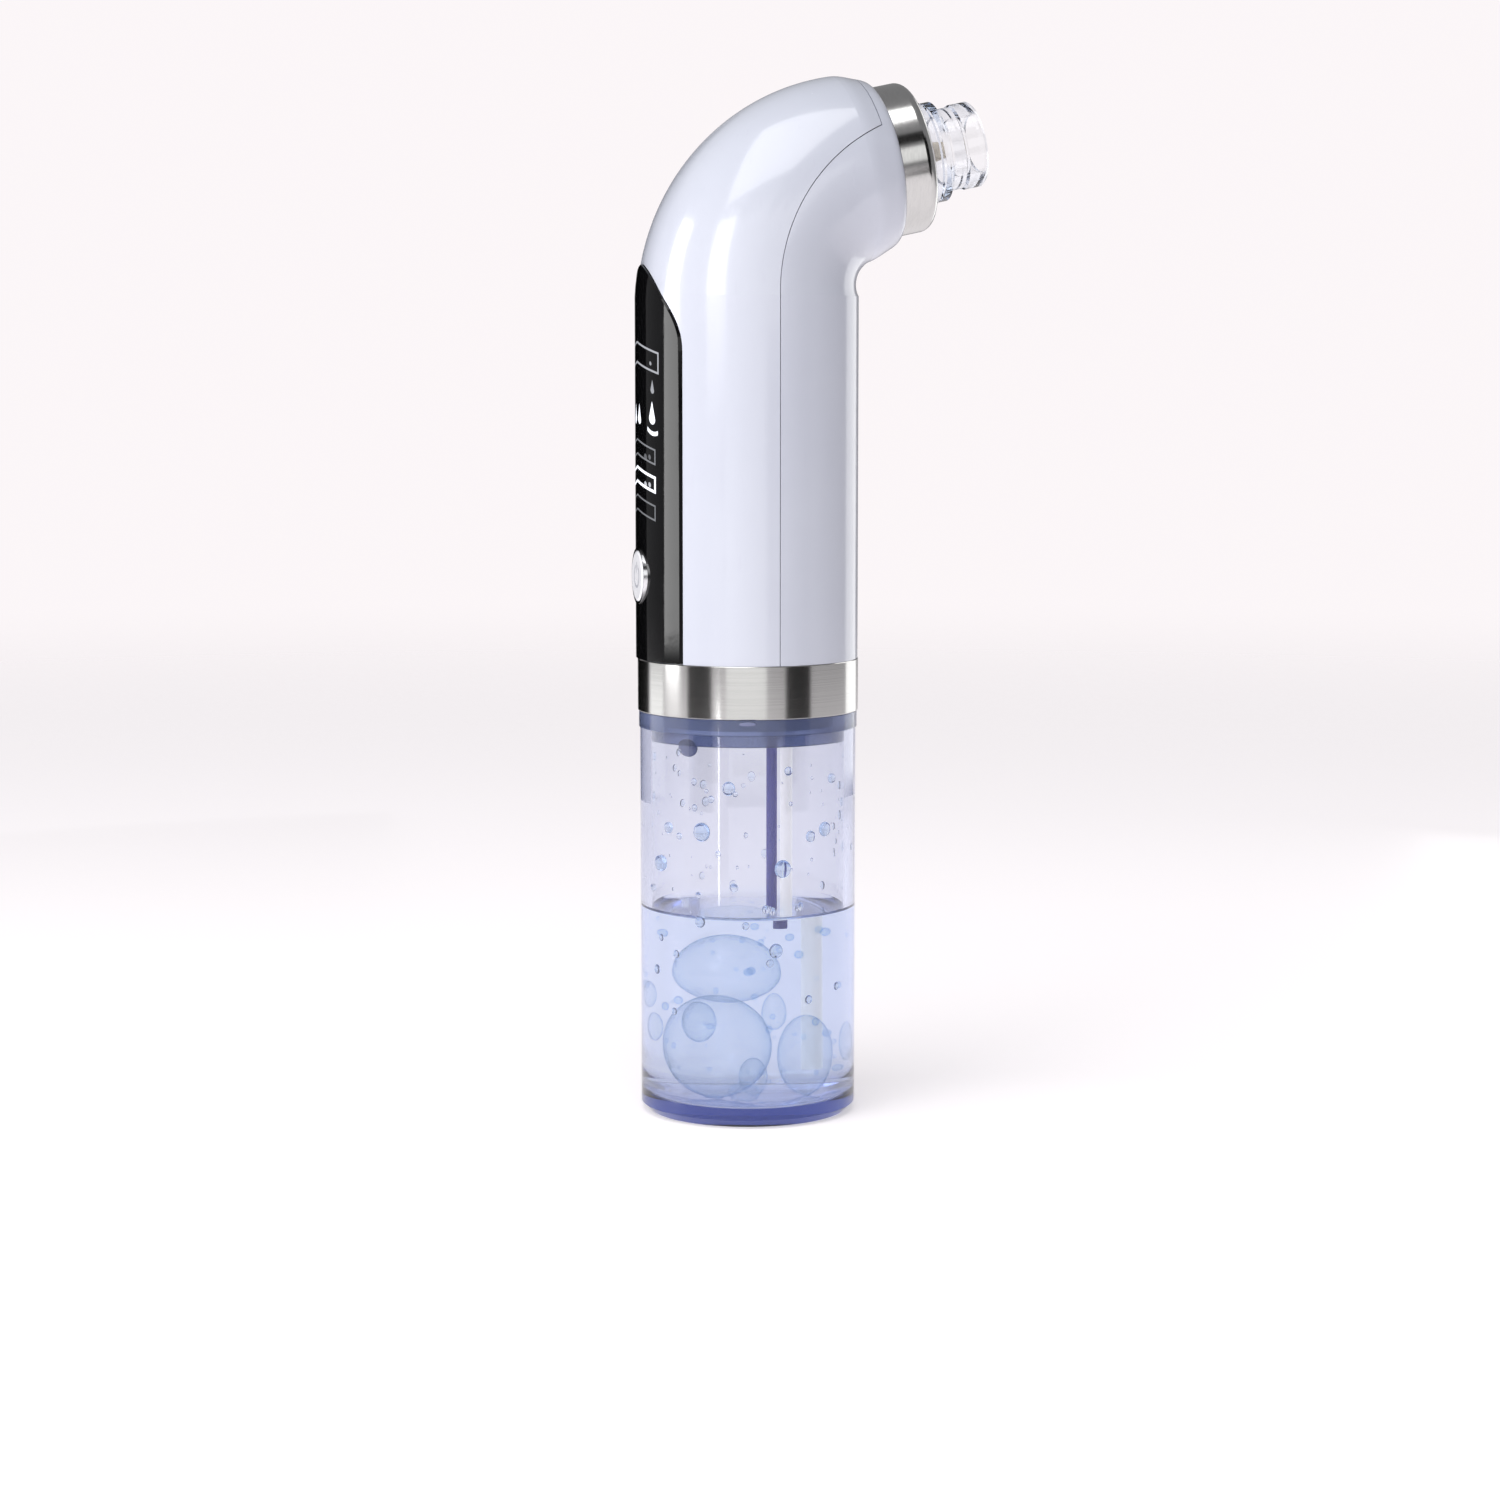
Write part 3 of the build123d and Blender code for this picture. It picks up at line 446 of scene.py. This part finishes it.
# ------------------------------------------------------------------ mesh tools
def mesh_object(name, mesh_maker, material):
    """An object whose mesh mesh_maker builds."""
    build = bmesh.new()
    mesh_maker(build)
    mesh = bpy.data.meshes.new(name)
    build.to_mesh(mesh)
    build.free()
    mesh.materials.append(material)
    made = bpy.data.objects.new(name, mesh)
    bpy.context.scene.collection.objects.link(made)
    return made


def piece(name, mesh_maker, body, material):
    """A smooth-shaded piece of the object, riding on its body."""
    made = mesh_object(name, mesh_maker, material)
    made.data.polygons.foreach_set("use_smooth", [True] * len(made.data.polygons))
    made.data.set_sharp_from_angle(angle=math.radians(35.0))
    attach(made, body)
    return made


def lathe(build, profile, steps):
    """Turns (radius, height) points about Z; a point of no radius closes the form."""
    rings = []
    for radius, height in profile:
        if radius <= 0.0:
            rings.append([build.verts.new(Vector((0.0, 0.0, height)))])
            continue
        ring = []
        for i in range(steps):
            turn = 2.0 * math.pi * i / steps
            point = Vector((radius * math.cos(turn), radius * math.sin(turn), height))
            ring.append(build.verts.new(point))
        rings.append(ring)
    for lower, upper in zip(rings, rings[1:]):
        for i in range(steps):
            after = (i + 1) % steps
            corners = [lower[i % len(lower)], lower[after % len(lower)], upper[after % len(upper)],
                       upper[i % len(upper)]]
            build.faces.new(list(dict.fromkeys(corners)))
    bmesh.ops.recalc_face_normals(build, faces=build.faces)


def round_corner(centre, radius, start, end):
    """Points of an arc in a (radius, height) profile, in degrees."""
    steps = 6
    points = []
    for i in range(steps + 1):
        a = math.radians(start + (end - start) * i / steps)
        points.append((centre[0] + radius * math.cos(a), centre[1] + radius * math.sin(a)))
    return points


def ball(build, centre, radii, facing=Matrix.Identity(4), segments=28, rings=18, dent=0.0):
    """A closed rounded form with its own radius along each axis, flattened below by dent."""
    made = bmesh.ops.create_uvsphere(build, u_segments=segments, v_segments=rings, radius=1.0)
    for vert in made["verts"]:
        local = Vector((vert.co.x * radii[0], vert.co.y * radii[1], vert.co.z * radii[2]))
        if vert.co.z < 0.0:
            local.z *= 1.0 - dent
        vert.co = centre + (facing @ local.to_4d()).to_3d()
    return made["verts"]


def film(build, centre, radii, thickness, dent=0.0, segments=32, rings=20):
    """A hollow bubble: an outer skin and an inner one that faces inwards."""
    ball(build, centre, radii, segments=segments, rings=rings, dent=dent)
    inner_radii = [r - thickness for r in radii]
    inner = ball(build, centre, inner_radii, segments=segments, rings=rings, dent=dent)
    faces = list({face for vert in inner for face in vert.link_faces})
    bmesh.ops.reverse_faces(build, faces=faces)


# ------------------------------------------------------------------ tank contents
def tank_point(across, depth, height):
    """A point in the tank: across the view and towards it as shares of the bore, height in metres."""
    return VIEW_RIGHT * (across * BORE) + VIEW_SIDE * (depth * BORE) + Vector((0.0, 0.0, height))


def make_water(material):
    """The water fills the tank's bore, with a meniscus up the wall and a rounded foot."""
    lap = 0.03 * MM          # the water runs this far into the plastic, so no air shows between them
    hold = 0.4 * MM          # a ring this far from each edge keeps its shading crisp
    foot_radius = 2.0 * MM
    rise = 0.9 * MM          # how far the meniscus climbs, and how far in it starts
    reach = 3.2 * MM
    wall = BORE + lap
    low = TANK_FLOOR - lap
    foot = round_corner((wall - foot_radius, low + foot_radius), foot_radius, -90.0, 0.0)
    surface = []
    steps = 8
    for i in range(steps + 1):
        share = i / steps
        surface.append((wall - reach * share, WATER_LEVEL + rise * (1.0 - share) ** 3))
    base = [(0.0, low), (wall - foot_radius - hold, low), *foot, (wall, low + foot_radius + hold)]
    crown = [(wall, WATER_LEVEL + rise - hold), *surface]
    middle = [(wall - reach - hold, WATER_LEVEL), (0.0, WATER_LEVEL)]

    def shape(build):
        lathe(build, base + crown + middle, 160)

    return piece("tank_water", shape, "tank", material)


def make_bubbles(name, rows, material, thickness):
    """Hollow bubbles in the water: (across, depth, height, half width, half height, dent) each."""

    def shape(build):
        for across, depth, height, half_width, half_height, dent in rows:
            half = half_width * BUBBLE_SQUEEZE * MM
            radii = (half, half, half_height * MM)
            film(build, tank_point(across, depth, height * MM), radii, thickness, dent, 64, 40)

    return piece(name, shape, "tank", material)


def make_fizz(name, count, seed, levels, sizes, depths, material):
    """Small bubbles scattered through the water."""
    chance = random.Random(seed)

    def shape(build):
        for _ in range(count):
            turn = chance.uniform(0.0, 2.0 * math.pi)
            reach = BORE * chance.uniform(*depths)
            size = chance.uniform(*sizes) * MM
            height = chance.uniform(*levels) * MM
            centre = Vector((reach * math.cos(turn), reach * math.sin(turn), height))
            half = size * BUBBLE_SQUEEZE
            film(build, centre, (half, half, size), size * 0.16, segments=16, rings=10)

    return piece(name, shape, "tank", material)


def wall_frame(turn, height, radius):
    """A frame on the tank's wall: local Z points at the axis."""
    inward = Vector((-math.cos(turn), -math.sin(turn), 0.0))
    upward = Vector((0.0, 0.0, 1.0))
    side = upward.cross(inward)
    frame_matrix = Matrix((side, upward, inward)).transposed().to_4x4()
    centre = Vector((math.cos(turn) * radius, math.sin(turn) * radius, height))
    return centre, frame_matrix


def make_droplets(name, drops, material):
    """Beads of water on the inside of the wall: (turn, height, size, stretch) each."""
    sunk, depth = 0.28, 0.55         # shares of a bead's size that are in the wall, and off it

    def shape(build):
        for turn, height, size, stretch in drops:
            centre, facing = wall_frame(turn, height * MM, BORE - size * sunk * MM)
            radii = (size * MM, size * stretch * MM, size * depth * MM)
            ball(build, centre, radii, facing, 20, 12)

    return piece(name, shape, "tank", material)


def scattered_drops(seed, count, levels, sizes):
    """Beads all round the wall, most of them small."""
    chance = random.Random(seed)
    drops = []
    for _ in range(count):
        turn = chance.uniform(0.0, 2.0 * math.pi)
        size = sizes[0] + (sizes[1] - sizes[0]) * chance.random() ** 2.2
        drops.append((turn, chance.uniform(*levels), size, chance.uniform(0.95, 1.35)))
    return drops


def seen_turn(across):
    """The angle of a point on the front of the tank that is seen this far across it (-1 to 1)."""
    return math.atan2(VIEW_SIDE.y, VIEW_SIDE.x) + math.asin(across)


def front_drops():
    """The larger beads on the near wall, listed as (share across, height, size)."""
    swell, stretch = 1.35, 1.1
    rows = (
        (-0.19, 61.0, 0.85), (-0.46, 53.0, 1.15), (-0.78, 53.2, 0.7), (-0.86, 46.5, 1.0), (-0.36, 59.0, 0.45),
        (0.40, 64.0, 0.55), (0.82, 62.0, 0.6), (0.62, 52.0, 0.7), (0.76, 53.0, 0.9), (0.35, 46.5, 1.1),
        (-0.47, 36.8, 0.7), (-0.02, 36.4, 0.5), (0.28, 31.8, 0.9), (0.22, 29.6, 0.5), (-0.7, 30.5, 0.5),
        (-0.88, 27.0, 0.6), (-0.84, 33.0, 0.45), (0.86, 24.0, 0.5), (0.6, 22.5, 0.55), (-0.72, 20.0, 0.45),
    )
    return [(seen_turn(across), height, size * swell, stretch) for across, height, size in rows]


def make_collar_mark(material):
    """A small raised mark on the collar that lines the tank up with the grip."""
    turn = math.atan2(VIEW_SIDE.y, VIEW_SIDE.x)
    reach = collar_high.x - 0.05 * MM

    def shape(build):
        centre, facing = wall_frame(turn, band_low.z - 0.75 * MM, reach)
        ball(build, centre, (1.5 * MM, 0.38 * MM, 0.18 * MM), facing, 24, 12)

    return piece("collar_mark", shape, "tank", material)


def make_tank_lug(material):
    """The small arched lug under the collar, on the inside of the wall."""
    turn = seen_turn(-0.6)

    def shape(build):
        centre, facing = wall_frame(turn, collar_low.z - 0.4 * MM, BORE - 0.6 * MM)
        ball(build, centre, (2.0 * MM, 1.6 * MM, 0.5 * MM), facing, 28, 14)

    return piece("tank_lug", shape, "tank", material)


# ------------------------------------------------------------------ finishes for the model's nodes
STEEL = (0.66, 0.655, 0.645)
VIOLET = (0.18, 0.18, 0.62)
VIOLET_DEEP = (0.12, 0.12, 0.5)


def dress_nodes():
    """Gives every node of the model its finish."""
    seal = rubber("seal_rubber_grey", (0.13, 0.14, 0.17), (0.2, 0.21, 0.25))
    screw = plated_metal("screw_zinc", (0.62, 0.63, 0.66), 0.28)
    board = circuit_board()
    black = moulded("component_black", (0.025, 0.025, 0.03), (0.05, 0.05, 0.055), 0.45)
    dark = moulded("pump_housing_black", (0.05, 0.055, 0.065), (0.09, 0.095, 0.11), 0.42)
    hose = tinted_plastic("hose_silicone", (0.85, 0.86, 0.88), (0.74, 0.76, 0.8), 0.3, 0.45)
    wire = rubber("wire_red_silicone", (0.5, 0.03, 0.025), (0.62, 0.06, 0.04))
    sponge = foam()
    shell = gloss_shell()
    band = satin_steel("satin_steel_band", STEEL, 0.11, (12.0, 12.0, 5200.0))
    ring = satin_steel("satin_steel_nozzle", STEEL, 0.12, (4200.0, 30.0, 900.0))
    finishes = {
        "rear_shell": shell,
        "front_shell": shell,
        "display_lens": display_gloss(),
        "power_button": button_white(),
        "button_bezel": satin_steel("bezel_bright", (0.8, 0.8, 0.82), 0.12, (3000.0, 60.0, 60.0)),
        "steel_band": band,
        "nozzle_ring": ring,
        "nozzle_seat": moulded("seat_grey_satin", (0.42, 0.42, 0.5), (0.5, 0.5, 0.57), 0.3),
        "spray_jet": moulded("jet_cream", (0.78, 0.69, 0.55), (0.86, 0.78, 0.66), 0.25),
        "suction_tip": clear_wall("tip_clear", (0.6, 0.68, 0.8), 60.0, 0.01, 1.5),
        "water_tank": clear_wall("tank_clear_violet", (0.0, 0.14, 0.62), 78.0),
        "tank_collar": tinted_plastic("collar_blue_grey", (0.3, 0.36, 0.58), (0.2, 0.25, 0.48), 0.14, 0.7),
        "manifold": tinted_plastic("manifold_blue_grey", (0.5, 0.54, 0.74), (0.4, 0.44, 0.68), 0.2, 0.35),
        # the last number, 0.55, is the pickup tube's painted glow
        "pickup_tube": milky("pickup_tube_cream", (0.88, 0.85, 0.82), (0.95, 0.93, 0.9), 0.25, 0.55),
        "return_tube": tinted_plastic("return_tube_violet", VIOLET, VIOLET_DEEP, 0.12, 0.25),
        "light_guide": moulded("guide_white", (0.8, 0.8, 0.8), (0.88, 0.88, 0.88), 0.4),
        "chassis": moulded("frame_white", (0.78, 0.78, 0.79), (0.84, 0.84, 0.85), 0.45),
        "battery_cell": plated_metal("cell_foil", (0.7, 0.71, 0.74), 0.3),
        "pump_motor": plated_metal("motor_can", (0.6, 0.6, 0.62), 0.24),
        "usb_socket": plated_metal("socket_shell", (0.72, 0.72, 0.74), 0.2),
        "display_leds": lit_lens(),
    }
    groups = (
        (seal, ("seat_gasket", "tip_gasket", "tank_oring", "tank_gasket", "pump_diaphragm")),
        (screw, ("pump_screws", "clamp_screws", "manifold_screws", "shell_screws", "motor_shaft")),
        (board, ("main_board", "display_board", "charge_board")),
        (black, ("board_components", "board_header", "tact_switch")),
        (dark, ("pump_cover", "pump_head", "pump_eccentric", "motor_clamp")),
        (hose, ("supply_hose", "suction_hose", "return_hose")),
        (wire, ("battery_leads", "motor_leads")),
        (sponge, ("filter_sponge", "battery_pad")),
    )
    for material, names in groups:
        finishes.update({name: material for name in names})
    for name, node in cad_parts.items():
        for place in range(max(1, len(node.material_slots))):
            if not node.material_slots:
                node.data.materials.append(finishes[name])
            node.material_slots[place].material = finishes[name]


# ------------------------------------------------------------------ stage
def floor_material():
    """A pale floor with a little light of its own, which fades into the backdrop far off."""
    bench = Bench("pale_floor")
    pale = (0.93, 0.895, 0.91)
    bench.set(base_color=pale, roughness=0.55, emission_color=pale, emission_strength=0.5)
    x, y, z = bench.axes()
    reach = (x ** 2.0 + y ** 2.0).root()
    bench.set(alpha=1.0 - reach.ramp(300.0, 1300.0))
    return bench.material


def panel_material(name, colour, strength, bottom, soft_edge):
    """A light panel whose brightness fades in from its lower edge."""
    bench = Bench(name)
    x, y, z = bench.axes()
    glow = z.ramp(bottom / MM, (bottom + soft_edge) / MM)
    bench.set(base_color=(0.0, 0.0, 0.0), roughness=1.0, specular_ior_level=0.0)
    bench.set(emission_color=bench.mix(glow, (0.0, 0.0, 0.0), colour), emission_strength=strength)
    return bench.material


def panel(name, from_turn, to_turn, bottom, top, material, reach, diffuse=True, glossy=True, through=False):
    """A curved upright panel round the object; turns are degrees from the camera, left is negative."""

    def shape(build):
        steps = 12
        columns = []
        for i in range(steps + 1):
            turn = VIEW_TURN + math.radians(from_turn + (to_turn - from_turn) * i / steps)
            side = Vector((math.sin(turn), -math.cos(turn), 0.0)) * reach
            columns.append([build.verts.new(side + Vector((0.0, 0.0, h))) for h in (bottom, top)])
        for left, right in zip(columns, columns[1:]):
            build.faces.new((left[0], right[0], right[1], left[1]))

    made = mesh_object(name, shape, material)
    made.visible_camera = False
    made.visible_shadow = False
    made.visible_diffuse = diffuse
    made.visible_glossy = glossy
    made.visible_transmission = through
    return made


def set_floor():
    """A round pale floor that stays just under the tank, also when the tank is pulled down off the handle."""

    def shape(build):
        bmesh.ops.create_circle(build, cap_ends=True, segments=96, radius=3.0)

    floor = mesh_object("floor", shape, floor_material())
    floor.location.z = -0.2 * MM
    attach(floor, "tank")


def set_panels():
    """Light panels and dark flags, seen only as reflections and soft light."""
    flag = panel_material("flag_black", (0.0, 0.0, 0.0), 0.0, 0.0, 0.1)
    near = 0.42

    def glow(name, strength, bottom, soft_edge=0.01):
        return panel_material(name, (1.0, 1.0, 1.0), strength, bottom, soft_edge)

    key = glow("key_glow", 4.6, 0.1, 0.09)
    panel("key_panel", -42, -22, 0.1, 0.42, key, near, diffuse=False, through=True)
    panel("soft_key", -85, -24, 0.02, 0.55, glow("soft_glow", 2.05, 0.0), near + 0.1, glossy=False)
    front = glow("front_glow", 1.1, 0.004)
    panel("front_panel", -22, 19, 0.004, 0.4, front, near, diffuse=False, through=True)
    panel("side_panel", 19, 38, 0.12, 0.3, glow("side_glow", 1.2, 0.12, 0.04), near, diffuse=False)
    panel("left_panel", -121, -97, 0.004, 0.045, glow("left_glow", 1.5, 0.004, 0.002), near, diffuse=False)
    panel("lens_panel", -93, -74, 0.046, 0.4, glow("lens_glow", 6.5, 0.046), near, diffuse=False)
    panel("right_panel", 122, 152, 0.004, 0.4, glow("right_glow", 1.6, 0.004), near, diffuse=False)
    panel("left_flag", -64, -37, 0.002, 0.095, flag, near, diffuse=False, through=True)
    panel("right_flag", 39, 67, 0.002, 0.4, flag, near, diffuse=False, through=True)
    panel("upper_flag", 8, 50, 0.33, 0.47, flag, near - 0.02, diffuse=False, through=True)
    panel("edge_flag", -165, -124, 0.002, 0.4, flag, near, diffuse=False)
    panel("tank_strip", -30.5, -28.5, 0.002, 0.046, glow("strip_glow", 9.0, 0.0, 0.004), 0.25, diffuse=False)


def set_sky():
    """A pale backdrop to look at, and a dimmer, cooler sky that lights the object."""
    world = bpy.data.worlds.new("studio")
    bpy.context.scene.world = world
    sky = Wiring(world)
    seen = sky.add("ShaderNodeBackground", sockets={"Color": (0.97, 0.925, 0.94), "Strength": 1.0})
    lit = sky.add("ShaderNodeBackground", sockets={"Color": (0.93, 0.93, 0.96), "Strength": 0.28})
    straight = sky.add("ShaderNodeLightPath", out="Is Camera Ray")
    through = sky.add("ShaderNodeLightPath", out="Is Transmission Ray")
    blend = sky.add("ShaderNodeMixShader", sockets={0: straight.most(through), 1: lit, 2: seen})
    output = sky.tree.nodes.new("ShaderNodeOutputWorld")
    sky.plug(output.inputs["Surface"], blend)


def set_lamp():
    """One large soft lamp above, from the left."""
    lamp = bpy.data.lights.new("overhead", "AREA")
    lamp.energy = 7.0
    lamp.size = 0.9
    above = bpy.data.objects.new("overhead", lamp)
    bpy.context.scene.collection.objects.link(above)
    above.location = (-0.25, -0.45, 1.15)
    above.rotation_mode = "QUATERNION"
    above.rotation_quaternion = (Vector((0.0, 0.0, 0.12)) - above.location).to_track_quat("-Z", "Y")


def set_camera():
    """The camera looks a little down on the object, from the side that shows the display's edge."""
    distance = 0.61
    eye = 0.1375
    tilt = math.radians(6.7)
    sideways = 0.0004
    data = bpy.data.cameras.new("camera")
    data.sensor_width = 36.0
    data.lens = 80.9
    data.clip_start = 0.01
    data.clip_end = 50.0
    camera = bpy.data.objects.new("camera", data)
    bpy.context.scene.collection.objects.link(camera)
    camera.location = VIEW_SIDE * distance + VIEW_RIGHT * sideways + Vector((0.0, 0.0, eye))
    forward = -VIEW_SIDE * math.cos(tilt) + Vector((0.0, 0.0, -math.sin(tilt)))
    camera.rotation_mode = "QUATERNION"
    camera.rotation_quaternion = forward.to_track_quat("-Z", "Y")
    bpy.context.scene.camera = camera


def set_light_paths():
    """Enough bounces for the clear tank and its water, and plain colours."""
    scene = bpy.context.scene
    scene.view_settings.view_transform = "Standard"
    scene.cycles.max_bounces = 28
    scene.cycles.transmission_bounces = 26
    scene.cycles.transparent_max_bounces = 24
    scene.cycles.glossy_bounces = 8
    scene.cycles.caustics_reflective = False


# ------------------------------------------------------------------ making
set_camera()
set_light_paths()
dress_nodes()

water = water_look()
film_wall = 0.14 * MM
large_film = bubble_look("bubble_film_large", (0.0, 0.36, 0.68), 420.0)
small_film = bubble_look("bubble_film_small", (0.0, 0.42, 0.8), 1200.0)
bead = clear_wall("water_bead", (0.35, 0.62, 0.9), 300.0, 0.0, 1.33, 0.000002)
collar_finish = tinted_plastic("mark_blue_grey", (0.25, 0.28, 0.45), (0.2, 0.22, 0.4), 0.2, 0.2)

make_water(water)
big_bubbles = (
    (-0.27, 0.28, 12.7, 10.4, 9.4, 0.0),
    (-0.15, -0.28, 24.6, 8.6, 7.4, 0.3),
    (0.47, 0.12, 10.6, 5.2, 7.4, 0.0),
)
mid_bubbles = (
    (-0.45, 0.6, 18.0, 3.7, 3.7, 0.0),
    (0.05, 0.74, 8.4, 3.0, 3.5, 0.0),
    (0.22, 0.3, 18.6, 2.4, 4.0, 0.3),
    (-0.03, 0.6, 5.2, 3.2, 1.9, 0.0),
    (-0.86, 0.1, 21.3, 2.0, 2.4, 0.0),
    (-0.84, 0.25, 15.8, 2.2, 2.6, 0.0),
    (0.86, 0.1, 12.6, 2.0, 3.6, 0.0),
)
make_bubbles("large_bubbles", big_bubbles, large_film, film_wall)
make_bubbles("middle_bubbles", mid_bubbles, large_film, film_wall)
make_fizz("small_bubbles", 60, 11, (4.5, 35.5), (0.25, 0.8), (0.3, 0.93), small_film)
make_droplets("wall_drops_near", front_drops(), bead)
make_droplets("wall_drops", scattered_drops(5, 90, (38.5, 68.0), (0.2, 0.8)), bead)
make_collar_mark(collar_finish)
make_tank_lug(collar_finish)

set_floor()
set_panels()
set_sky()
set_lamp()

bpy.context.view_layer.update()
